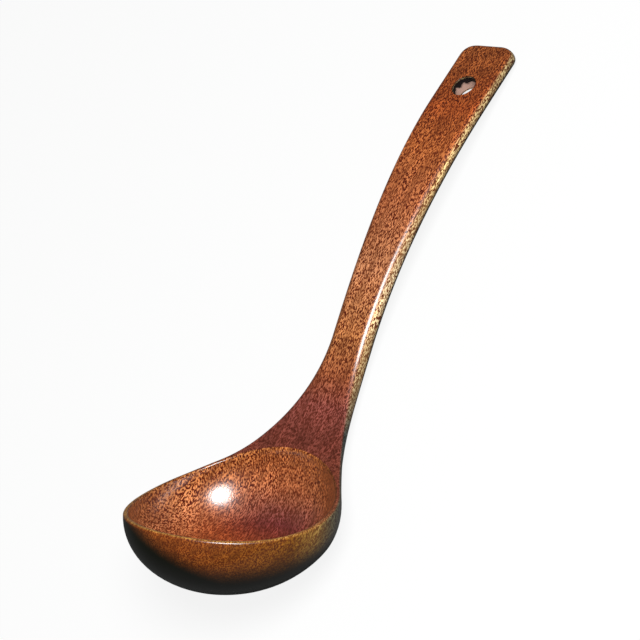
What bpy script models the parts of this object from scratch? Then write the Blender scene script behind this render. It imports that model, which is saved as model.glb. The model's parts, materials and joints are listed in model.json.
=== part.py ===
"""Stained and lacquered wooden ladle: one carved body, a lacquer skin in its bowl and another outside.

Metres, +Z up. The ladle is set out straight: s runs along its top from the mouth's middle to the handle's
end, y runs across, and h is the height over the top. A bend then carries it onto the top profile, which
rises from the mouth through the neck to the handle. It lies on the back of its bowl and its handle's end.
"""
import bmesh
import bpy
import numpy as np
from math import cos, radians, sin

# Bare wood: the bowl
MOUTH_RADIUS = 0.0376
LIP = 0.0008
BOWL_DEPTH = 0.0280
BOWL_FLOOR = 0.0040
BOWL_FULLNESS = 2.0
LIP_ROUND = 0.0003

# Bare wood: the neck and the handle
NECK_FILLET = 0.0980
UNDER_FILLET = 0.0240
WAIST_WIDTH = 0.0165
HANDLE_WIDTH = 0.0241
NECK_THICKNESS = 0.0064
HANDLE_THICKNESS = 0.0054
HANDLE_FULLNESS = 3.0
NECK_ROUND = 0.0030
HANDLE_ROUND = 0.0020
END_ROUND = 0.0062
END_EDGE = 0.0022
END_FULLNESS = 3.0

# Top profile: where it starts to rise, the lengths of its arcs behind the bowl, and its slope where they meet
RISE_START = 0.0120
NECK_LENGTH = 0.0466
GRIP_LENGTH = 0.1050
END_LENGTH = 0.0280
MOUTH_SLOPE = radians(21.0)
NECK_FOOT_SLOPE = radians(49.0)
NECK_SLOPE = radians(70.5)
END_SLOPE = radians(48.5)

# Tilt of the sections at the back of the bowl, which stand more upright there than square to the profile
BOWL_BACK_LEAN = radians(14.0)

# Finish, and the clearance that keeps it a separate skin
FILM = 0.0003
SEAT_GAP = 0.0003

# Hanging hole
HOLE_RADIUS = 0.0048
HOLE_FROM_END = 0.0216

# Mesh
TURN_STEPS = 8
NECK_STEPS = 8
GRIP_STEPS = 9
END_STEPS = 6
TOP_STEPS = 2
ROUND_STEPS = 2
SIDE_STEPS = 7
HOLLOW_STEPS = 7
HOLE_SIDES = 32
MERGE_DISTANCE = 1e-6

BOWL_RADIUS = MOUTH_RADIUS + LIP
SKIN = SEAT_GAP + FILM
NECK_END = BOWL_RADIUS + NECK_LENGTH
GRIP_END = NECK_END + GRIP_LENGTH
HANDLE_END = GRIP_END + END_LENGTH

PROFILE_JOINS = [-BOWL_RADIUS, RISE_START, BOWL_RADIUS, NECK_END, GRIP_END]
PROFILE_SLOPES = [0.0, MOUTH_SLOPE, NECK_FOOT_SLOPE, NECK_SLOPE, END_SLOPE]
SECTION_LEANS = [0.0, MOUTH_SLOPE, BOWL_BACK_LEAN, NECK_SLOPE, END_SLOPE]


def smooth(value, low, high):
    """Ease from 0 at low to 1 at high."""
    t = np.clip((value - low) / (high - low), 0.0, 1.0)
    return t * t * (3.0 - 2.0 * t)


def round_off(value, low, high, power):
    """Superellipse that is 1 up to low and falls to 0 at high."""
    t = np.clip((value - low) / (high - low), 0.0, 1.0)
    return (1.0 - t ** power) ** (1.0 / power)


def profile_point(s):
    """Place on the top profile: tangent arcs from a level front lip, then a straight end."""
    if s < PROFILE_JOINS[0]:
        return s, 0.0
    x, z = PROFILE_JOINS[0], 0.0
    arcs = zip(PROFILE_JOINS, PROFILE_JOINS[1:], PROFILE_SLOPES, PROFILE_SLOPES[1:])
    for start, stop, first, last in arcs:
        run = min(s, stop) - start
        turned = (last - first) * run / (stop - start)
        chord = run * np.sinc(turned / (2 * np.pi))
        x += chord * cos(first + turned / 2)
        z += chord * sin(first + turned / 2)
        if s <= stop:
            return x, z
    beyond = s - GRIP_END
    return x + beyond * cos(END_SLOPE), z + beyond * sin(END_SLOPE)


def section_lean(s):
    """Tilt of the section at s: square to the profile, but more upright at the back of the bowl."""
    return np.interp(s, PROFILE_JOINS, SECTION_LEANS)


def bend(s, y, h):
    """Carry a point of the straight ladle onto its profile, in its own section."""
    x, z = profile_point(s)
    return x - h * sin(section_lean(s)), y, z + h * cos(section_lean(s))


def flare(s, radius, waist, fillet):
    """Half of an outline along s: a circle, a fillet tangent to it, and the waist that it runs into."""
    reach = radius + fillet
    waist_start = np.sqrt(reach ** 2 - (waist + fillet) ** 2)
    if s <= waist_start * radius / reach:
        return np.sqrt(radius ** 2 - s ** 2)
    if s <= waist_start:
        return waist + fillet - np.sqrt(fillet ** 2 - (s - waist_start) ** 2)
    return waist


def half_width(s, grow):
    """Plan outline: the bowl flares into the neck's waist, and the handle widens to its round end."""
    width = flare(s, BOWL_RADIUS + grow, WAIST_WIDTH / 2 + grow, NECK_FILLET - grow)
    widen = smooth(s, NECK_END, GRIP_END) * (HANDLE_WIDTH - WAIST_WIDTH) / 2
    return (width + widen) * round_off(s, HANDLE_END - END_ROUND, HANDLE_END + grow, END_FULLNESS)


def depth(s, grow):
    """Depth of the outside under the top: the bowl flares into the neck, and the handle thins to its end."""
    squat = (BOWL_DEPTH + grow) / (BOWL_RADIUS + grow)
    neck = flare(s, BOWL_RADIUS + grow, (NECK_THICKNESS + grow) / squat, UNDER_FILLET - grow) * squat
    return neck - smooth(s, NECK_END, GRIP_END) * (NECK_THICKNESS - HANDLE_THICKNESS)


def half_section(s, grow):
    """Half of the outside's section at s, from the hollow's edge or the top's middle to the underside."""
    to_handle = smooth(s, 0.0, NECK_END)
    fullness = BOWL_FULLNESS + (HANDLE_FULLNESS - BOWL_FULLNESS) * to_handle
    width = half_width(s, grow)
    end_edge = round_off(s, HANDLE_END - END_EDGE, HANDLE_END + grow, END_FULLNESS)
    middle = (grow - depth(s, grow)) / 2
    half_height = (grow + depth(s, grow)) / 2 * end_edge
    top, bottom = middle + half_height, middle - half_height
    corner = LIP_ROUND + (NECK_ROUND - LIP_ROUND) * to_handle
    corner += (HANDLE_ROUND - NECK_ROUND) * smooth(s, NECK_END, GRIP_END)
    corner = min(corner + grow, width / 2, half_height)
    inner = np.sqrt(max(MOUTH_RADIUS ** 2 - s ** 2, 0.0))
    points = [(inner + (width - corner - inner) * t, top) for t in np.linspace(0, 1, TOP_STEPS + 1)]
    for angle in np.linspace(0, np.pi / 2, ROUND_STEPS + 1)[1:]:
        points.append((width - corner + corner * sin(angle), top - corner + corner * cos(angle)))
    for angle in np.linspace(0, np.pi / 2, SIDE_STEPS + 1)[1:]:
        across = max(cos(angle), 0.0) ** (2 / fullness)
        down = sin(angle) ** (2 / fullness)
        points.append((width * across, top - corner - (top - corner - bottom) * down))
    points[-1] = (0.0, bottom)
    return points


def stations(grow):
    """Lengths s of the sections: even turns round the back of the mouth, then the neck, grip and end."""
    turn = [MOUTH_RADIUS * sin(a) for a in np.linspace(0, np.pi / 2, TURN_STEPS + 1)]
    neck = np.linspace(MOUTH_RADIUS, NECK_END, NECK_STEPS + 1)[1:]
    grip = np.linspace(NECK_END, GRIP_END, GRIP_STEPS + 1)[1:]
    flat = [HANDLE_END - END_ROUND]
    close = [HANDLE_END - END_ROUND + (END_ROUND + grow) * sin(a)
             for a in np.linspace(0, np.pi / 2, END_STEPS + 1)[1:]]
    return [*turn, *neck, *grip, *flat, *close]


def outside_rows(grow):
    """Half sections in order round the outline: up the right side, round the front, back down the left."""
    back = [[bend(s, y, h) for y, h in half_section(s, grow)] for s in stations(grow)]
    mirrored = [[(x, -y, z) for x, y, z in row] for row in back]
    front = []
    for angle in np.linspace(-np.pi / 2, np.pi / 2, 2 * TURN_STEPS + 1)[1:-1]:
        front.append([bend(-r * cos(angle), r * sin(angle), h) for r, h in half_section(0.0, grow)])
    return mirrored[::-1] + front + back


def hollow_rows(shrink):
    """Meridians of the bowl's hollow, from its edge to the middle of its floor, right round the mouth."""
    radius = MOUTH_RADIUS - shrink
    floor = BOWL_DEPTH - BOWL_FLOOR - shrink
    rows = []
    for turn in np.linspace(0, 2 * np.pi, 4 * TURN_STEPS + 1):
        row = []
        for angle in np.linspace(0, np.pi / 2, HOLLOW_STEPS + 1):
            across = radius * max(cos(angle), 0.0) ** (2 / BOWL_FULLNESS)
            lip = shrink * (1 - sin(angle))
            down = floor * sin(angle) ** (2 / BOWL_FULLNESS)
            row.append(bend(across * cos(turn), -across * sin(turn), lip - down))
        rows.append(row)
    return rows


def loft(name, *grids):
    """Mesh of quads between neighbouring rows of each grid, with shared edges and poles merged."""
    shape = bmesh.new()
    for rows in grids:
        verts = [[shape.verts.new(point) for point in row] for row in rows]
        for row, following in zip(verts, verts[1:]):
            for k in range(len(row) - 1):
                shape.faces.new((row[k], row[k + 1], following[k + 1], following[k]))
    bmesh.ops.remove_doubles(shape, verts=shape.verts, dist=MERGE_DISTANCE)
    bmesh.ops.dissolve_degenerate(shape, edges=shape.edges, dist=MERGE_DISTANCE)
    bmesh.ops.recalc_face_normals(shape, faces=shape.faces)
    mesh = bpy.data.meshes.new(name)
    shape.to_mesh(mesh)
    shape.free()
    mesh.shade_smooth()
    return mesh


def resting_pose(rows):
    """Turn about Y, and shift, that lay the longest flat of the underside's outline on the table."""
    under = sorted({(round(row[-1][0], 9), round(row[-1][2], 9)) for row in rows})
    hull = []
    for point in under:
        while len(hull) > 1:
            (ax, az), (bx, bz) = hull[-2:]
            if (bx - ax) * (point[1] - az) > (bz - az) * (point[0] - ax):
                break
            hull.pop()
        hull.append(point)
    spans = np.diff(np.array(hull), axis=0)
    along, rise = spans[np.argmax(np.hypot(*spans.T))]
    turn = np.arctan2(rise, along)
    points = np.array([point for row in rows for point in row])
    x = points[:, 0] * cos(turn) + points[:, 2] * sin(turn)
    z = points[:, 2] * cos(turn) - points[:, 0] * sin(turn)
    return turn, (-(x.min() + x.max()) / 2, 0.0, -z.min())


def material(name, colour, roughness):
    """Plain finish with a Principled shader."""
    finish = bpy.data.materials.new(name)
    finish.use_nodes = True
    shader = finish.node_tree.nodes["Principled BSDF"]
    shader.inputs["Base Color"].default_value = (*colour, 1.0)
    shader.inputs["Roughness"].default_value = roughness
    shader.inputs["Metallic"].default_value = 0.0
    return finish


def place(mesh, collection, frame, finish=None):
    """Object for a mesh, in its collection and carried by the ladle's frame."""
    piece = bpy.data.objects.new(mesh.name, mesh)
    collection.objects.link(piece)
    piece.parent = frame
    if finish:
        mesh.materials.append(finish)
    return piece


def thicken(piece, side):
    """Give an open skin its thickness towards the wood: over its outward faces (1) or under them (-1)."""
    shell = piece.modifiers.new("film", 'SOLIDIFY')
    shell.thickness = FILM
    shell.offset = side
    shell.use_even_offset = True


def drill(piece, cutter):
    """Cut the hanging hole through a piece."""
    cut = piece.modifiers.new("hanging_hole", 'BOOLEAN')
    cut.operation = 'DIFFERENCE'
    cut.solver = 'EXACT'
    cut.object = cutter


def hole_cutter(collection, frame):
    """Drill for the hanging hole, square to the top of the handle's end."""
    s = HANDLE_END - HOLE_FROM_END
    shape = bmesh.new()
    bmesh.ops.create_cone(shape, cap_ends=True, segments=HOLE_SIDES, radius1=HOLE_RADIUS, radius2=HOLE_RADIUS,
                          depth=4 * (depth(s, SKIN) + SKIN))
    mesh = bpy.data.meshes.new("hole_cutter")
    shape.to_mesh(mesh)
    shape.free()
    cutter = place(mesh, collection, frame)
    cutter.location = bend(s, 0.0, (SKIN - depth(s, SKIN)) / 2)
    cutter.rotation_euler = (0.0, -END_SLOPE, 0.0)
    cutter.hide_render = True
    cutter.display_type = 'WIRE'
    return cutter


def main():
    for piece in list(bpy.data.objects):
        bpy.data.objects.remove(piece, do_unlink=True)
    parts = bpy.data.collections.new("lacquered_wooden_ladle")
    cutters = bpy.data.collections.new("cutters")
    bpy.context.scene.collection.children.link(parts)
    bpy.context.scene.collection.children.link(cutters)

    finished = outside_rows(SKIN)
    frame = bpy.data.objects.new("resting_frame", None)
    parts.objects.link(frame)
    turn, frame.location = resting_pose(finished)
    frame.rotation_euler = (0.0, turn, 0.0)

    bare_wood = material("bare_wood", (0.30, 0.13, 0.05), 0.7)
    bowl_gloss = material("bowl_gloss", (0.22, 0.085, 0.03), 0.2)
    outer_gloss = material("outer_gloss", (0.20, 0.07, 0.03), 0.2)

    drill_tool = hole_cutter(cutters, frame)
    body = place(loft("wooden_body", outside_rows(0.0), hollow_rows(0.0)), parts, frame, bare_wood)
    drill(body, drill_tool)
    lining = place(loft("bowl_lacquer", hollow_rows(SKIN)), parts, frame, bowl_gloss)
    thicken(lining, 1.0)
    skin = place(loft("outer_lacquer", finished), parts, frame, outer_gloss)
    thicken(skin, -1.0)
    drill(skin, drill_tool)


main()
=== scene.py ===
"""Looks of a stained and lacquered wooden ladle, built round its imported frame. Metres, +Z up.

The ladle is drawn straight first: s runs along its top from the mouth's middle to the handle's end,
y runs across, and h is the height over the top. Geometry Nodes then bend it onto its top profile and
lay it down.
"""
import json
from math import atan2, cos, pi, radians, sin

import bmesh
import bpy
import numpy as np
from mathutils import Matrix, Vector


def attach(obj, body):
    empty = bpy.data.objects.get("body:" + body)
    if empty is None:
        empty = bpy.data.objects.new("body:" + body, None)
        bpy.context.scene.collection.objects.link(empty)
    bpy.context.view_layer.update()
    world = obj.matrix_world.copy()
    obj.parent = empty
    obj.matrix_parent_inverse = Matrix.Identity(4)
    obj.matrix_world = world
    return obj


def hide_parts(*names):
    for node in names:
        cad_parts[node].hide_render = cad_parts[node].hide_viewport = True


# Bare wood: the bowl
MOUTH_RADIUS = 0.0376
LIP = 0.0008
BOWL_DEPTH = 0.0280
BOWL_FLOOR = 0.0040
LIP_ROUND = 0.0003

# Bare wood: the neck and the handle
NECK_FILLET = 0.0980
UNDER_FILLET = 0.0240
WAIST_WIDTH = 0.0165
HANDLE_WIDTH = 0.0241
NECK_THICKNESS = 0.0064
HANDLE_THICKNESS = 0.0054
BOWL_FULLNESS = 2.0
HANDLE_FULLNESS = 3.0
NECK_ROUND = 0.0030
HANDLE_ROUND = 0.0020
END_ROUND = 0.0062
END_EDGE = 0.0022
END_FULLNESS = 3.0

# Top profile: where it starts to rise, the lengths of its arcs, and its slope where they meet
RISE_START = 0.0120
NECK_LENGTH = 0.0466
GRIP_LENGTH = 0.1050
END_LENGTH = 0.0280
MOUTH_SLOPE = radians(21.0)
NECK_FOOT_SLOPE = radians(49.0)
NECK_SLOPE = radians(70.5)
END_SLOPE = radians(48.5)

# Tilt of the sections at the bowl's back, which stand more upright there than square to the profile
BOWL_BACK_LEAN = radians(14.0)

# Finish: its outer face over the wood, the film's own thickness, which all but reaches the wood here,
# and how far the lining's lip stays under the outer skin's
SKIN = 0.0006
FILM = 0.00055
LIP_SEAM = 0.00001

# Hanging hole, and the mount beside it
HOLE_RADIUS = 0.0048
HOLE_FROM_END = 0.0216
HOLE_EDGE = 0.0002
MOUNT_FROM_END = 0.0115

BOWL_RADIUS = MOUTH_RADIUS + LIP
NECK_END = BOWL_RADIUS + NECK_LENGTH
GRIP_END = NECK_END + GRIP_LENGTH
HANDLE_END = GRIP_END + END_LENGTH

PROFILE_JOINS = [-BOWL_RADIUS, RISE_START, BOWL_RADIUS, NECK_END, GRIP_END]
PROFILE_SLOPES = [0.0, MOUTH_SLOPE, NECK_FOOT_SLOPE, NECK_SLOPE, END_SLOPE]
SECTION_LEANS = [0.0, MOUTH_SLOPE, BOWL_BACK_LEAN, NECK_SLOPE, END_SLOPE]

# Mesh: steps of each stretch, points on the profile, and the angle from which an edge is a crease
TURN_STEPS = 44
NECK_STEPS = 40
GRIP_STEPS = 64
FLAT_STEPS = 10
END_STEPS = 22
TOP_STEPS = 10
ROUND_STEPS = 8
SIDE_STEPS = 26
HOLLOW_STEPS = 46
HOLE_SIDES = 96
PROFILE_POINTS = 1600
PROFILE_MARGIN = 0.004
MERGE_DISTANCE = 1e-7
CREASE = radians(40.0)

# Wood: sizes of its figure along the grain, across it and upright. Real pores are about 0.1 mm wide,
# too fine to show, so the flecks are drawn as coarse as they need to be. In the bowl they are longer
# upright, so that they show on its walls too.
FLECK = (0.0012, 0.00038, 0.00038)
BOWL_FLECK = (0.0011, 0.00036, 0.0007)
CLOUD = (0.0240, 0.0032, 0.0032)

# Wood: the width of a growth ring, the middle of the trunk, the height of the grain, and its IOR
RING = 0.0024
PITH = (0.0, 0.0, -0.060)
GRAIN_HEIGHT = 0.00006
WOOD_IOR = 1.5

# Radians that the wave texture turns through in one unit of its scale
WAVE_RADIANS = 20.0

# Pores and pale flecks: the level of the noise, 0.5 on average, where they start and where they are
# full, and what they multiply the stain's red, green and blue by
PORE_START = 0.50
PORE_FULL = 0.455
PORE_TINT = (0.22, 0.05, 0.01)
GLINT_START = 0.505
GLINT_FULL = 0.56
GLINT_TINT = (2.1, 3.2, 4.8)

# Clouds: the levels of their noise that calm the flecks or leave them lively, the share of the flecks
# that is left where they are calm, and how far clouds and rings darken or lift the stain
CALM_LEVEL = 0.35
LIVELY_LEVEL = 0.60
CALM_SHARE = 0.65
CLOUD_LOW = 0.3
CLOUD_HIGH = 0.7
CLOUD_DARK = 0.78
CLOUD_PALE = 1.20
RING_DARK = 0.90
RING_PALE = 1.08

# Colour on the outside by s: stain on the faces that look up; brown to golden tones on the sideways
# faces, with painted shade, dark olive to grey-green, towards the neck; and painted shade on the faces
# that look down
TOP_STAIN = ((-0.010, "#b0702e"), (0.005, "#94522a"), (0.020, "#803a22"), (0.040, "#743020"),
             (0.057, "#843a2a"), (0.069, "#8e4220"), (0.085, "#b05e2c"), (0.112, "#b26236"),
             (0.142, "#ac5429"), (0.165, "#ae5322"), (0.186, "#9a3e14"), (0.210, "#924218"))
SIDE_TONES_AND_SHADE = ((-0.038, "#8a3e10"), (-0.010, "#86480a"), (0.000, "#b87b32"), (0.010, "#7c623c"),
              (0.025, "#605034"), (0.048, "#34352c"), (0.080, "#dca262"), (0.110, "#e6ac72"),
              (0.150, "#dea05c"), (0.218, "#a87c4a"))
UNDER_PAINTED_SHADE = "#16170f"

# How far up a face looks, from -1 to 1, where the sideways faces' colour gives way, where the top's stain
# is full, and where the painted shade on the faces that look down starts and is full. That painted shade
# starts higher on the bowl's left and on the handle.
SIDE_FACING = 0.45
TOP_FACING = 0.80
UNDER_START = -0.24
UNDER_FULL = -0.66
BOWL_RIGHT_RISE = -0.07
BOWL_LEFT_RISE = 0.62
HANDLE_RISE = 0.36

# The calm, dark neck: its place and reach along s, and the share of the flecks there and on the bowl
NECK_PLACE = 0.048
NECK_REACH = 0.035
NECK_SHARE = 0.65
BOWL_SHARE = 0.60

# Stain in the bowl: by height on the walls, with painted shade that dulls them by s at the front and by Y
# on the right, and by s on the floor, with the heights between which the floor's stain turns into the
# walls'
WALL_STAIN = ((-0.0130, "#c46a3a"), (-0.0075, "#b66030"), (-0.0010, "#b05e2a"), (0.000, "#b0602a"))
WALL_PAINTED_SHADE = ((-0.020, "#ccc6ca"), (-0.004, "#d8d2d4"), (0.010, "#ffffff"), (0.028, "#eae0dc"),
              (0.036, "#e8d8d0"))
RIGHT_PAINTED_SHADE = ((-0.036, "#78706c"), (-0.022, "#aea49e"), (-0.006, "#ffffff"))
FLOOR_STAIN = ((0.000, "#9c481e"), (0.010, "#943c18"), (0.018, "#782c1a"), (0.027, "#642828"),
               (0.036, "#6c2e18"))
FLOOR_TOP = -0.0184
WALL_FOOT = -0.0098
FLOOR_SHARE = 0.6

# Lacquer: an IOR above the usual 1.5, matched to how bright its highlights are, and its share where the
# faces that look down are painted in shade
LACQUER_IOR = 1.70
UNDER_LACQUER = 0.3

# Hanging hole: its bare wood, and the stain in it, how deep it ran in, and how uneven and how soft its
# edge is
BARE_WOOD = "#e2b8a6"
HOLE_STAIN = "#160a08"
STAIN_DEPTH = 0.0026
STAIN_RUN = 0.0020
STAIN_BLUR = 0.0008

# Paper and room: what the camera sees, what the lacquer mirrors and what lights the ladle, the share of
# its white that the paper keeps in shadow, and how far it reaches
SEEN_WHITE = "#ffffff"
MIRRORED_PAPER = "#606060"
THROWN_PAPER = "#303030"
ROOM_LIGHT = "#40463f"
PAPER_GLOW = 0.88
PAPER_REACH = 3.0

# Soft box, by its direction from the ladle
LAMP_TOWARDS = (-0.02, -0.480, 0.877)
LAMP_DISTANCE = 0.95
LAMP_SIZE = 0.46
LAMP_POWER = 9.6

# Camera, in the ladle's own upright frame
VIEW_TURN = radians(40.43)
VIEW_RISE = radians(6.47)
VIEW_ROLL = radians(4.58)
VIEW_AIM = (0.05359, 0.01258, 0.06897)
VIEW_DISTANCE = 0.900
VIEW_LENS = 136.1
SENSOR = 36.0
NEAREST_SEEN = 0.01

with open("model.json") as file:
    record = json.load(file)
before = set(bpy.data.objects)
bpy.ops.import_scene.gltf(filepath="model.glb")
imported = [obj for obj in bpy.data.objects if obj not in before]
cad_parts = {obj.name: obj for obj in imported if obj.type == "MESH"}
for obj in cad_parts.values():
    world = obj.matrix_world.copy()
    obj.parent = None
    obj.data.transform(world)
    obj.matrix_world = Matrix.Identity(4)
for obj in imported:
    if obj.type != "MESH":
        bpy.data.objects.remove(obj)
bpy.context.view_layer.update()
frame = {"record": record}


def smooth(value, low, high):
    """Ease from 0 at low to 1 at high."""
    t = np.clip((value - low) / (high - low), 0.0, 1.0)
    return t * t * (3.0 - 2.0 * t)


def round_off(value, low, high, power):
    """Superellipse that is 1 up to low and falls to 0 at high."""
    t = np.clip((value - low) / (high - low), 0.0, 1.0)
    return (1.0 - t ** power) ** (1.0 / power)


def profile_point(s):
    """Place on the top profile: tangent arcs from a level front lip, then a straight end."""
    if s < PROFILE_JOINS[0]:
        return s, 0.0
    x, z = PROFILE_JOINS[0], 0.0
    arcs = zip(PROFILE_JOINS, PROFILE_JOINS[1:], PROFILE_SLOPES, PROFILE_SLOPES[1:])
    for start, stop, first, last in arcs:
        run = min(s, stop) - start
        turned = (last - first) * run / (stop - start)
        chord = run * np.sinc(turned / (2 * pi))
        x += chord * cos(first + turned / 2)
        z += chord * sin(first + turned / 2)
        if s <= stop:
            return x, z
    beyond = s - GRIP_END
    return x + beyond * cos(END_SLOPE), z + beyond * sin(END_SLOPE)


def section_lean(s):
    """Tilt of the section at s: square to the profile, but more upright at the back of the bowl."""
    return np.interp(s, PROFILE_JOINS, SECTION_LEANS)


def flare(s, radius, waist, fillet):
    """Half of an outline along s: a circle, a fillet tangent to it, and the waist that it runs into."""
    reach = radius + fillet
    waist_start = np.sqrt(reach ** 2 - (waist + fillet) ** 2)
    if s <= waist_start * radius / reach:
        return np.sqrt(radius ** 2 - s ** 2)
    if s <= waist_start:
        return waist + fillet - np.sqrt(fillet ** 2 - (s - waist_start) ** 2)
    return waist


def half_width(s, grow):
    """Plan outline: the bowl flares into the neck's waist, and the handle widens to its round end."""
    width = flare(s, BOWL_RADIUS + grow, WAIST_WIDTH / 2 + grow, NECK_FILLET - grow)
    widen = smooth(s, NECK_END, GRIP_END) * (HANDLE_WIDTH - WAIST_WIDTH) / 2
    return (width + widen) * round_off(s, HANDLE_END - END_ROUND, HANDLE_END + grow, END_FULLNESS)


def depth(s, grow):
    """Depth of the outside under the top: the bowl flares into the neck, and the handle thins."""
    squat = (BOWL_DEPTH + grow) / (BOWL_RADIUS + grow)
    neck = flare(s, BOWL_RADIUS + grow, (NECK_THICKNESS + grow) / squat, UNDER_FILLET - grow) * squat
    return neck - smooth(s, NECK_END, GRIP_END) * (NECK_THICKNESS - HANDLE_THICKNESS)


def half_section(s, grow):
    """Half of the outside's section at s, from the hollow's edge or the top's middle to the bottom."""
    to_handle = smooth(s, 0.0, NECK_END)
    fullness = BOWL_FULLNESS + (HANDLE_FULLNESS - BOWL_FULLNESS) * to_handle
    width = half_width(s, grow)
    end_edge = round_off(s, HANDLE_END - END_EDGE, HANDLE_END + grow, END_FULLNESS)
    middle = (grow - depth(s, grow)) / 2
    half_height = (grow + depth(s, grow)) / 2 * end_edge
    top, bottom = middle + half_height, middle - half_height
    corner = LIP_ROUND + (NECK_ROUND - LIP_ROUND) * to_handle
    corner += (HANDLE_ROUND - NECK_ROUND) * smooth(s, NECK_END, GRIP_END)
    corner = min(corner + grow, width / 2, half_height)
    inner = np.sqrt(max(MOUTH_RADIUS ** 2 - s ** 2, 0.0))
    points = [(inner + (width - corner - inner) * t, top) for t in np.linspace(0, 1, TOP_STEPS + 1)]
    for angle in np.linspace(0, pi / 2, ROUND_STEPS + 1)[1:]:
        points.append((width - corner + corner * sin(angle), top - corner + corner * cos(angle)))
    for angle in np.linspace(0, pi / 2, SIDE_STEPS + 1)[1:]:
        across = max(cos(angle), 0.0) ** (2 / fullness)
        down = sin(angle) ** (2 / fullness)
        points.append((width * across, top - corner - (top - corner - bottom) * down))
    points[-1] = (0.0, bottom)
    return points


def stations(grow):
    """Lengths s of the sections: even turns round the mouth's back, then the neck, grip and end."""
    turn = [MOUTH_RADIUS * sin(a) for a in np.linspace(0, pi / 2, TURN_STEPS + 1)]
    neck = np.linspace(MOUTH_RADIUS, NECK_END, NECK_STEPS + 1)[1:]
    grip = np.linspace(NECK_END, GRIP_END, GRIP_STEPS + 1)[1:]
    flat = np.linspace(GRIP_END, HANDLE_END - END_ROUND, FLAT_STEPS + 1)[1:]
    close = [HANDLE_END - END_ROUND + (END_ROUND + grow) * sin(a)
             for a in np.linspace(0, pi / 2, END_STEPS + 1)[1:]]
    return [*turn, *neck, *grip, *flat, *close]


def outside_rows(grow):
    """Half sections in order round the outline: along one side, round the front, back along the other."""
    back = [[(s, y, h) for y, h in half_section(s, grow)] for s in stations(grow)]
    mirrored = [[(s, -y, h) for s, y, h in row] for row in back]
    front = []
    for angle in np.linspace(-pi / 2, pi / 2, 2 * TURN_STEPS + 1)[1:-1]:
        front.append([(-r * cos(angle), r * sin(angle), h) for r, h in half_section(0.0, grow)])
    return mirrored[::-1] + front + back


def hollow_rows(radius, floor, lip):
    """Meridians of the bowl's hollow: over the round of its lip, then down to its floor's middle."""
    meridian = []
    if lip:
        for angle in np.linspace(0, pi / 2, ROUND_STEPS + 1)[:-1]:
            meridian.append((radius + lip * (1 - sin(angle)), lip * cos(angle)))
    for angle in np.linspace(0, pi / 2, HOLLOW_STEPS + 1):
        across = max(cos(angle), 0.0) ** (2 / BOWL_FULLNESS)
        meridian.append((radius * across, -floor * sin(angle) ** (2 / BOWL_FULLNESS)))
    turns = np.linspace(0, 2 * pi, 4 * TURN_STEPS + 1)
    return [[(r * cos(turn), -r * sin(turn), h) for r, h in meridian] for turn in turns]


def drill_rows():
    """Meridians of the hanging hole's drill, which eases the edge at both faces of the handle."""
    s = HANDLE_END - HOLE_FROM_END
    top, bottom = SKIN, -depth(s, SKIN)
    wide = HOLE_RADIUS + HOLE_EDGE
    ease = []
    for angle in np.linspace(0, pi / 2, ROUND_STEPS + 1):
        ease.append((wide - HOLE_EDGE * sin(angle), HOLE_EDGE * (1 - cos(angle))))
    meridian = [(0.0, top + wide), (wide, top + wide)]
    meridian += [(r, top - down) for r, down in ease]
    meridian += [(r, bottom + down) for r, down in reversed(ease)]
    meridian += [(wide, bottom - wide), (0.0, bottom - wide)]
    turns = np.linspace(0, 2 * pi, HOLE_SIDES + 1)
    return [[(s + r * cos(turn), r * sin(turn), h) for r, h in meridian] for turn in turns]


def loft(name, *grids, turned_in=False):
    """Mesh of quads between neighbouring rows of each grid, with shared edges and poles merged."""
    shape = bmesh.new()
    for rows in grids:
        verts = [[shape.verts.new(point) for point in row] for row in rows]
        for row, following in zip(verts, verts[1:]):
            for k in range(len(row) - 1):
                shape.faces.new((row[k], row[k + 1], following[k + 1], following[k]))
    bmesh.ops.remove_doubles(shape, verts=shape.verts, dist=MERGE_DISTANCE)
    bmesh.ops.dissolve_degenerate(shape, edges=shape.edges, dist=MERGE_DISTANCE)
    bmesh.ops.recalc_face_normals(shape, faces=shape.faces)
    if turned_in:
        bmesh.ops.reverse_faces(shape, faces=shape.faces)
    mesh = bpy.data.meshes.new(name)
    shape.to_mesh(mesh)
    shape.free()
    mesh.shade_smooth()
    return mesh


def mount_named(name):
    """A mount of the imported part, from its record."""
    return next(mount for mount in frame["record"]["mounts"] if mount["name"] == name)


def resting_place():
    """Turn about Y and shift of the resting ladle, read from the mount on its handle's end."""
    mount = mount_named("handle_end_face")
    turn = END_SLOPE + atan2(mount["axis"][0], mount["axis"][2])
    x, z = profile_point(HANDLE_END - MOUNT_FROM_END)
    on_profile = Vector((x - SKIN * sin(END_SLOPE), 0.0, z + SKIN * cos(END_SLOPE)))
    shift = Vector(mount["pos_m"]) - Matrix.Rotation(turn, 3, 'Y') @ on_profile
    return turn, shift


def add(tree, kind, links=None, **settings):
    """Add a node: settings are its own, and links give each input a socket to follow or a value."""
    made = tree.nodes.new(kind)
    for name, value in settings.items():
        setattr(made, name, value)
    for name, value in (links or {}).items():
        if isinstance(value, bpy.types.NodeSocket):
            tree.links.new(value, made.inputs[name])
        else:
            made.inputs[name].default_value = value
    return made


def profile_curve():
    """The top profile as a curve, run on a little past both ends, with its sections' lean as tilt."""
    line = bpy.data.curves.new("top_profile", 'CURVE')
    line.dimensions = '3D'
    spline = line.splines.new('POLY')
    spline.points.add(PROFILE_POINTS - 1)
    lengths = np.linspace(-BOWL_RADIUS - PROFILE_MARGIN, HANDLE_END + PROFILE_MARGIN, PROFILE_POINTS)
    for point, s in zip(spline.points, lengths):
        x, z = profile_point(s)
        point.co = (x, 0.0, z, 1.0)
        point.tilt = section_lean(s)
    guide = bpy.data.objects.new("top_profile", line)
    bpy.context.scene.collection.objects.link(guide)
    return guide


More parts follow.
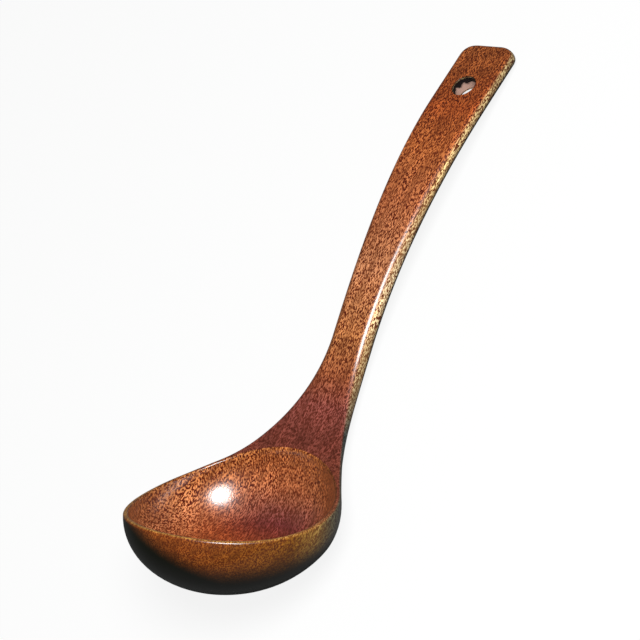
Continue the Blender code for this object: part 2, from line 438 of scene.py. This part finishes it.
def bending_tree():
    """Geometry Nodes that bend a straight piece onto the profile, lay it down and give it its finish.

    Each corner keeps its length and height on the straight ladle, and how far up it faces there, for the
    stain and for the painted shade on the faces that look sideways and down.
    """
    tree = bpy.data.node_groups.new("bend_onto_profile", 'GeometryNodeTree')
    sockets = {"Straight piece": 'Geometry', "Profile": 'Object', "Start": 'Float', "Turn": 'Float',
               "Shift": 'Vector', "Finish": 'Material'}
    for name, kind in sockets.items():
        tree.interface.new_socket(name, in_out='INPUT', socket_type="NodeSocket" + kind)
    tree.interface.new_socket("Bent piece", in_out='OUTPUT', socket_type='NodeSocketGeometry')
    given = add(tree, "NodeGroupInput").outputs
    place = add(tree, "GeometryNodeInputPosition").outputs[0]
    straight = add(tree, "ShaderNodeSeparateXYZ", {0: place}).outputs
    curve = add(tree, "GeometryNodeObjectInfo", {"Object": given["Profile"]}).outputs["Geometry"]
    length = add(tree, "ShaderNodeMath", {0: straight["X"], 1: given["Start"]},
                 operation='SUBTRACT').outputs[0]
    lean = add(tree, "GeometryNodeInputCurveTilt").outputs[0]
    foot = add(tree, "GeometryNodeSampleCurve", {"Curves": curve, "Value": lean, "Length": length},
               mode='LENGTH').outputs
    upward = add(tree, "ShaderNodeVectorRotate", {"Vector": (0.0, 0.0, 1.0), "Angle": foot["Value"]},
                 rotation_type='Y_AXIS', invert=True).outputs[0]
    raised = add(tree, "ShaderNodeVectorMath", {0: upward, "Scale": straight["Z"]},
                 operation='SCALE').outputs[0]
    across = add(tree, "ShaderNodeCombineXYZ", {"Y": straight["Y"]}).outputs[0]
    aside = add(tree, "ShaderNodeVectorMath", {0: raised, 1: across}, operation='ADD').outputs[0]
    bent = add(tree, "ShaderNodeVectorMath", {0: foot["Position"], 1: aside},
               operation='ADD').outputs[0]
    normal = add(tree, "GeometryNodeInputNormal").outputs[0]
    facing = add(tree, "ShaderNodeSeparateXYZ", {0: normal}).outputs["Z"]
    marked = given["Straight piece"]
    for name, value in (("along", straight["X"]), ("height", straight["Z"]), ("facing", facing)):
        marked = add(tree, "GeometryNodeStoreNamedAttribute",
                     {"Geometry": marked, "Name": name, "Value": value},
                     data_type='FLOAT', domain='CORNER').outputs[0]
    moved = add(tree, "GeometryNodeSetPosition", {"Geometry": marked, "Position": bent}).outputs[0]
    turn = add(tree, "ShaderNodeCombineXYZ", {"Y": given["Turn"]}).outputs[0]
    laid = add(tree, "GeometryNodeTransform",
               {"Geometry": moved, "Translation": given["Shift"], "Rotation": turn}).outputs[0]
    real = add(tree, "GeometryNodeRealizeInstances", {"Geometry": laid}).outputs[0]
    dressed = add(tree, "GeometryNodeSetMaterial",
                  {"Geometry": real, "Material": given["Finish"]}).outputs[0]
    add(tree, "NodeGroupOutput", {"Bent piece": dressed})
    return tree


def bent_piece(mesh, finish=None, film=0.0, drill=None):
    """Bend a straight mesh onto the profile, give a skin its film and drill it: a plain mesh."""
    straight = bpy.data.objects.new(mesh.name, mesh)
    bpy.context.scene.collection.objects.link(straight)
    bending = straight.modifiers.new("bend", 'NODES')
    bending.node_group = BENDING
    values = {"Profile": PROFILE, "Start": -BOWL_RADIUS - PROFILE_MARGIN, "Turn": TURN,
              "Shift": SHIFT, "Finish": finish}
    for item in BENDING.interface.items_tree:
        if item.name in values:
            bending[item.identifier] = values[item.name]
    if film:
        shell = straight.modifiers.new("film", 'SOLIDIFY')
        shell.thickness = film
        shell.offset = -1.0
        shell.use_even_offset = True
    if drill:
        cut = straight.modifiers.new("hanging_hole", 'BOOLEAN')
        cut.operation = 'DIFFERENCE'
        cut.solver = 'EXACT'
        cut.object = drill
    bpy.context.view_layer.update()
    evaluated = straight.evaluated_get(bpy.context.evaluated_depsgraph_get())
    made = bpy.data.meshes.new_from_object(evaluated)
    bpy.data.objects.remove(straight)
    made.name = mesh.name
    made.set_sharp_from_angle(angle=CREASE)
    piece = bpy.data.objects.new(mesh.name, made)
    bpy.context.scene.collection.objects.link(piece)
    return piece


def linear(colour):
    """Linear colour of an sRGB hex value."""
    channels = [int(colour[i:i + 2], 16) / 255 for i in (1, 3, 5)]
    return (*(c / 12.92 if c <= 0.04045 else ((c + 0.055) / 1.055) ** 2.4 for c in channels), 1.0)


def new_finish(name):
    """A material, and its node tree, still empty."""
    finish = bpy.data.materials.new(name)
    finish.use_nodes = True
    finish.node_tree.nodes.clear()
    return finish, finish.node_tree


def stain_by_place(tree, place, low, high, tones):
    """Stain that runs through tones, each given with its place between low and high."""
    share = add(tree, "ShaderNodeMapRange", {"Value": place, "From Min": low, "From Max": high})
    made = add(tree, "ShaderNodeValToRGB", {"Fac": share.outputs[0]})
    ramp = made.color_ramp
    stops = [((at - low) / (high - low), linear(tone)) for at, tone in tones]
    for end, (position, colour) in zip(ramp.elements, (stops[0], stops[-1])):
        end.position = position
        end.color = colour
    for position, colour in stops[1:-1]:
        ramp.elements.new(position).color = colour
    return made.outputs[0]


def wood_grain(tree, fleck):
    """Figure of a close-pored hardwood, grown along X: short flecks, slow clouds and growth rings."""
    place = add(tree, "ShaderNodeTexCoord").outputs["Object"]
    figure = []
    for lengths, detail, bent in ((fleck, 1.0, 0.3), (CLOUD, 3.0, 0.6)):
        drawn_out = add(tree, "ShaderNodeMapping",
                        {"Vector": place, "Scale": [1 / length for length in lengths]}).outputs[0]
        noise = add(tree, "ShaderNodeTexNoise",
                    {"Vector": drawn_out, "Scale": 1.0, "Detail": detail, "Distortion": bent})
        figure.append(noise.outputs[0])
    from_pith = add(tree, "ShaderNodeMapping", {"Vector": place, "Location": PITH},
                    vector_type='TEXTURE').outputs[0]
    rings = add(tree, "ShaderNodeTexWave",
                {"Vector": from_pith, "Scale": 2 * pi / (WAVE_RADIANS * RING), "Distortion": 2.5,
                 "Detail": 2.0, "Detail Scale": 0.4},
                wave_type='RINGS', rings_direction='X').outputs["Fac"]
    return (*figure, rings)


def flecked(tree, ground, lively, fleck):
    """Lay the wood's figure over a stain: dark pores, pale flecks, clouds and growth rings."""
    flecks, clouds, rings = wood_grain(tree, fleck)
    patchy = add(tree, "ShaderNodeMapRange",
                 {"Value": clouds, "From Min": CALM_LEVEL, "From Max": LIVELY_LEVEL,
                  "To Min": CALM_SHARE, "To Max": 1.0}).outputs[0]
    strength = add(tree, "ShaderNodeMath", {0: patchy, 1: lively}, operation='MULTIPLY').outputs[0]
    for tint, start, full in ((PORE_TINT, PORE_START, PORE_FULL), (GLINT_TINT, GLINT_START, GLINT_FULL)):
        share = add(tree, "ShaderNodeMapRange",
                    {"Value": flecks, "From Min": start, "From Max": full}).outputs[0]
        share = add(tree, "ShaderNodeMath", {0: share, 1: strength}, operation='MULTIPLY').outputs[0]
        tinted = add(tree, "ShaderNodeVectorMath", {0: ground, 1: tint},
                     operation='MULTIPLY').outputs[0]
        ground = add(tree, "ShaderNodeMix", {"Factor": share, 6: ground, 7: tinted},
                     data_type='RGBA').outputs[2]
    clouded = add(tree, "ShaderNodeMapRange",
                  {"Value": clouds, "From Min": CLOUD_LOW, "From Max": CLOUD_HIGH,
                   "To Min": CLOUD_DARK, "To Max": CLOUD_PALE}).outputs[0]
    ringed = add(tree, "ShaderNodeMapRange",
                 {"Value": rings, "To Min": RING_DARK, "To Max": RING_PALE}).outputs[0]
    shade = add(tree, "ShaderNodeMath", {0: clouded, 1: ringed}, operation='MULTIPLY').outputs[0]
    colour = add(tree, "ShaderNodeVectorMath", {0: ground, "Scale": shade},
                 operation='SCALE').outputs[0]
    return colour, flecks


def outside_finish():
    """Hardwood, carved, stained and lacquered, as it looks outside.

    The stain is red-brown on top and darkest on the neck. The sideways faces are golden on the handle and
    under the bowl's rim, and dark olive to grey-green from the bowl's back to the neck, which is painted
    shade. The faces that look down are painted nearly black, as painted shade with a grey-green painted
    reflection, and the lacquer is thin there. That painted shade reaches further up on the bowl's left
    and on the handle. The clear coat lies smooth over the grain, so its highlights are soft and whole.
    """
    finish, tree = new_finish("stained_lacquered_hardwood_outside")
    along = add(tree, "ShaderNodeAttribute", attribute_name="along").outputs["Fac"]
    facing = add(tree, "ShaderNodeAttribute", attribute_name="facing").outputs["Fac"]
    top = stain_by_place(tree, along, -BOWL_RADIUS, HANDLE_END, TOP_STAIN)
    # Sideways faces: golden on the handle and under the bowl's rim, with painted shade, dark olive to
    # grey-green, towards the neck
    side = stain_by_place(tree, along, -BOWL_RADIUS, HANDLE_END, SIDE_TONES_AND_SHADE)
    on_top = add(tree, "ShaderNodeMapRange",
                 {"Value": facing, "From Min": SIDE_FACING, "From Max": TOP_FACING}).outputs[0]
    stain = add(tree, "ShaderNodeMix", {"Factor": on_top, 6: side, 7: top},
                data_type='RGBA').outputs[2]
    off_neck = add(tree, "ShaderNodeMath", {0: along, 1: NECK_PLACE}, operation='SUBTRACT').outputs[0]
    far = add(tree, "ShaderNodeMath", {0: off_neck}, operation='ABSOLUTE').outputs[0]
    past_neck = add(tree, "ShaderNodeMapRange",
                    {"Value": far, "From Max": NECK_REACH,
                     "To Min": NECK_SHARE, "To Max": 1.0}).outputs[0]
    on_handle = add(tree, "ShaderNodeMapRange",
                    {"Value": along, "From Min": 0.0, "From Max": NECK_PLACE,
                     "To Min": BOWL_SHARE, "To Max": 1.0}).outputs[0]
    lively = add(tree, "ShaderNodeMath", {0: past_neck, 1: on_handle}, operation='MULTIPLY').outputs[0]
    figured, flecks = flecked(tree, stain, lively, FLECK)
    # Painted shade: faces that look down go nearly black, starting higher on the bowl's left and on the
    # handle
    place = add(tree, "ShaderNodeTexCoord").outputs["Object"]
    across = add(tree, "ShaderNodeSeparateXYZ", {0: place}).outputs["Y"]
    raised = add(tree, "ShaderNodeMapRange",
                 {"Value": across, "From Min": -BOWL_RADIUS / 2, "From Max": BOWL_RADIUS / 2,
                  "To Min": BOWL_RIGHT_RISE, "To Max": BOWL_LEFT_RISE}).outputs[0]
    at_bowl = add(tree, "ShaderNodeMapRange",
                  {"Value": along, "From Min": 0.0, "From Max": -BOWL_RADIUS / 2}).outputs[0]
    at_handle = add(tree, "ShaderNodeMapRange",
                    {"Value": along, "From Min": NECK_PLACE, "From Max": NECK_END,
                     "To Max": HANDLE_RISE}).outputs[0]
    lifted = add(tree, "ShaderNodeMath", {0: raised, 1: at_bowl, 2: at_handle},
                 operation='MULTIPLY_ADD').outputs[0]
    lowered = add(tree, "ShaderNodeMath", {0: facing, 1: lifted}, operation='SUBTRACT').outputs[0]
    painted_shade_below = add(tree, "ShaderNodeMapRange",
                {"Value": lowered, "From Min": UNDER_START, "From Max": UNDER_FULL},
                interpolation_type='SMOOTHSTEP').outputs[0]
    colour = add(tree, "ShaderNodeMix", {"Factor": painted_shade_below, 6: figured, 7: linear(UNDER_PAINTED_SHADE)},
                 data_type='RGBA').outputs[2]
    lacquer = add(tree, "ShaderNodeMapRange",
                  {"Value": painted_shade_below, "To Min": 1.0, "To Max": UNDER_LACQUER}).outputs[0]
    bump = add(tree, "ShaderNodeBump",
               {"Height": flecks, "Strength": 0.1, "Distance": GRAIN_HEIGHT}).outputs[0]
    shader = add(tree, "ShaderNodeBsdfPrincipled", {
        "Base Color": colour, "Roughness": 0.40, "IOR": WOOD_IOR, "Specular IOR Level": 0.3,
        "Coat Weight": lacquer, "Coat Roughness": 0.24, "Coat IOR": LACQUER_IOR, "Normal": bump})
    add(tree, "ShaderNodeOutputMaterial", {"Surface": shader.outputs[0]})
    return finish


def bowl_finish():
    """The same hardwood, stained and lacquered, as it looks in the bowl.

    The stain is orange-brown on the walls and dark red on the floor, and painted shade makes the walls
    duller at the front and on the right. The gloss coat sinks into the grain here, which breaks up its
    highlight.
    """
    finish, tree = new_finish("stained_lacquered_hardwood_bowl")
    along = add(tree, "ShaderNodeAttribute", attribute_name="along").outputs["Fac"]
    height = add(tree, "ShaderNodeAttribute", attribute_name="height").outputs["Fac"]
    place = add(tree, "ShaderNodeTexCoord").outputs["Object"]
    across = add(tree, "ShaderNodeSeparateXYZ", {0: place}).outputs["Y"]
    walls = stain_by_place(tree, height, BOWL_FLOOR - BOWL_DEPTH, 0.0, WALL_STAIN)
    # Painted shade on the walls: duller by s towards the front and by Y on the right
    for position, painted_shades in ((along, WALL_PAINTED_SHADE), (across, RIGHT_PAINTED_SHADE)):
        shade = stain_by_place(tree, position, -MOUTH_RADIUS, MOUTH_RADIUS, painted_shades)
        walls = add(tree, "ShaderNodeVectorMath", {0: walls, 1: shade},
                    operation='MULTIPLY').outputs[0]
    floor = stain_by_place(tree, along, 0.0, MOUTH_RADIUS, FLOOR_STAIN)
    on_wall = add(tree, "ShaderNodeMapRange",
                  {"Value": height, "From Min": FLOOR_TOP, "From Max": WALL_FOOT}).outputs[0]
    stain = add(tree, "ShaderNodeMix", {"Factor": on_wall, 6: floor, 7: walls},
                data_type='RGBA').outputs[2]
    lively = add(tree, "ShaderNodeMapRange",
                 {"Value": on_wall, "To Min": FLOOR_SHARE, "To Max": 1.0}).outputs[0]
    colour, flecks = flecked(tree, stain, lively, BOWL_FLECK)
    bump = add(tree, "ShaderNodeBump",
               {"Height": flecks, "Strength": 0.40, "Distance": GRAIN_HEIGHT}).outputs[0]
    shader = add(tree, "ShaderNodeBsdfPrincipled", {
        "Base Color": colour, "Roughness": 0.32, "IOR": WOOD_IOR, "Specular IOR Level": 0.4,
        "Coat Weight": 1.0, "Coat Roughness": 0.20, "Coat IOR": LACQUER_IOR, "Normal": bump,
        "Coat Normal": bump})
    add(tree, "ShaderNodeOutputMaterial", {"Surface": shader.outputs[0]})
    return finish


def core_finish():
    """Bare hardwood, drilled, and seen only in the hanging hole.

    It is pale and dry, with stain that ran in over its top edge.
    """
    finish, tree = new_finish("bare_hardwood_core")
    place = add(tree, "ShaderNodeTexCoord").outputs["Object"]
    mount = mount_named("hanging_hole")
    from_top = add(tree, "ShaderNodeVectorMath", {0: place, 1: mount["pos_m"]},
                   operation='SUBTRACT').outputs[0]
    height = add(tree, "ShaderNodeVectorMath", {0: from_top, 1: mount["axis"]},
                 operation='DOT_PRODUCT').outputs["Value"]
    runs = add(tree, "ShaderNodeTexNoise",
               {"Vector": place, "Scale": 1 / STAIN_RUN, "Detail": 1.0}).outputs[0]
    edge = add(tree, "ShaderNodeMath", {0: runs, 1: 2 * STAIN_RUN, 2: height},
               operation='MULTIPLY_ADD').outputs[0]
    stained = add(tree, "ShaderNodeMapRange",
                  {"Value": edge, "From Min": STAIN_RUN - STAIN_DEPTH - STAIN_BLUR,
                   "From Max": STAIN_RUN - STAIN_DEPTH}).outputs[0]
    colour = add(tree, "ShaderNodeMix",
                 {"Factor": stained, 6: linear(BARE_WOOD), 7: linear(HOLE_STAIN)},
                 data_type='RGBA').outputs[2]
    shader = add(tree, "ShaderNodeBsdfPrincipled",
                 {"Base Color": colour, "Roughness": 0.70, "IOR": WOOD_IOR})
    add(tree, "ShaderNodeOutputMaterial", {"Surface": shader.outputs[0]})
    return finish


def paper_finish():
    """Seamless white paper.

    It is white to the eye, grey in the lacquer, and darker for the light that it throws back.
    """
    finish, tree = new_finish("white_seamless_paper")
    ray = add(tree, "ShaderNodeLightPath").outputs
    mirrored = add(tree, "ShaderNodeMath", {0: ray["Is Glossy Ray"], 1: ray["Is Transmission Ray"]},
                   operation='MAXIMUM').outputs[0]
    thrown = add(tree, "ShaderNodeMix",
                 {"Factor": mirrored, 6: linear(THROWN_PAPER), 7: linear(MIRRORED_PAPER)},
                 data_type='RGBA').outputs[2]
    tone = add(tree, "ShaderNodeMix",
               {"Factor": ray["Is Camera Ray"], 6: thrown, 7: linear(SEEN_WHITE)},
               data_type='RGBA').outputs[2]
    paper = add(tree, "ShaderNodeBsdfDiffuse", {"Color": tone})
    glow = add(tree, "ShaderNodeEmission", {"Color": linear(SEEN_WHITE), "Strength": 1.0})
    share = add(tree, "ShaderNodeMath", {0: ray["Is Camera Ray"], 1: PAPER_GLOW},
                operation='MULTIPLY').outputs[0]
    mixed = add(tree, "ShaderNodeMixShader", {0: share, 1: paper.outputs[0], 2: glow.outputs[0]})
    add(tree, "ShaderNodeOutputMaterial", {"Surface": mixed.outputs[0]})
    return finish


def add_floor():
    """Paper under the ladle, out past the camera's view."""
    shape = bmesh.new()
    bmesh.ops.create_grid(shape, x_segments=1, y_segments=1, size=PAPER_REACH)
    mesh = bpy.data.meshes.new("floor")
    shape.to_mesh(mesh)
    shape.free()
    mesh.materials.append(paper_finish())
    floor = bpy.data.objects.new("floor", mesh)
    bpy.context.scene.collection.objects.link(floor)
    return floor


def add_camera(laid):
    """Camera at the photograph's angle, set in the upright ladle's frame and laid down with it."""
    back = Vector((-cos(VIEW_RISE) * cos(VIEW_TURN), -cos(VIEW_RISE) * sin(VIEW_TURN), sin(VIEW_RISE)))
    level = Vector((0.0, 0.0, 1.0)).cross(back).normalized()
    upright = back.cross(level)
    right = level * cos(VIEW_ROLL) + upright * sin(VIEW_ROLL)
    up = upright * cos(VIEW_ROLL) - level * sin(VIEW_ROLL)
    view = Matrix((right, up, back)).transposed().to_4x4()
    view.translation = Vector(VIEW_AIM) + back * VIEW_DISTANCE
    lens = bpy.data.cameras.new("camera")
    lens.lens = VIEW_LENS
    lens.sensor_width = SENSOR
    lens.clip_start = NEAREST_SEEN
    camera = bpy.data.objects.new("camera", lens)
    camera.matrix_world = laid @ view
    bpy.context.scene.collection.objects.link(camera)
    bpy.context.scene.camera = camera


def add_soft_box():
    """Round soft box over the camera and a little to its left, facing the ladle."""
    lamp = bpy.data.lights.new("soft_box", 'AREA')
    lamp.shape = 'DISK'
    lamp.size = LAMP_SIZE
    lamp.energy = LAMP_POWER
    back = Vector(LAMP_TOWARDS).normalized()
    facing = back.to_track_quat('Z', 'Y').to_matrix().to_4x4()
    box = bpy.data.objects.new("soft_box", lamp)
    box.matrix_world = Matrix.Translation(back * LAMP_DISTANCE) @ facing
    bpy.context.scene.collection.objects.link(box)


def add_room():
    """A weak room that looks white behind the paper, and plain view settings."""
    world = bpy.data.worlds.new("studio")
    world.use_nodes = True
    tree = world.node_tree
    tree.nodes.clear()
    seen = add(tree, "ShaderNodeLightPath").outputs["Is Camera Ray"]
    tone = add(tree, "ShaderNodeMix", {"Factor": seen, 6: linear(ROOM_LIGHT), 7: linear(SEEN_WHITE)},
               data_type='RGBA').outputs[2]
    room = add(tree, "ShaderNodeBackground", {"Color": tone, "Strength": 1.0})
    add(tree, "ShaderNodeOutputWorld", {"Surface": room.outputs[0]})
    bpy.context.scene.world = world
    bpy.context.scene.view_settings.view_transform = 'Standard'


TURN, SHIFT = resting_place()
PROFILE = profile_curve()
BENDING = bending_tree()

drill = bent_piece(loft("drill", drill_rows()))
skin = bent_piece(loft("outer_skin", outside_rows(SKIN)), outside_finish(), FILM, drill)
lining_rows = hollow_rows(MOUTH_RADIUS - SKIN, BOWL_DEPTH - BOWL_FLOOR - SKIN, SKIN - LIP_SEAM)
lining = bent_piece(loft("bowl_lining", lining_rows, turned_in=True), bowl_finish(), FILM)
core_rows = hollow_rows(MOUTH_RADIUS, BOWL_DEPTH - BOWL_FLOOR, 0.0)
core = bent_piece(loft("wood_core", outside_rows(0.0), core_rows), core_finish(), drill=drill)
bpy.data.objects.remove(drill)
bpy.data.objects.remove(PROFILE)

for piece, node, slot in ((skin, "outer_lacquer", "clear_lacquer"),
                          (lining, "bowl_lacquer", "clear_lacquer"),
                          (core, "wooden_body", "stained_wood")):
    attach(piece, "root")
    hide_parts(node)

add_floor()
add_camera(Matrix.Translation(SHIFT) @ Matrix.Rotation(TURN, 4, 'Y'))
add_soft_box()
add_room()
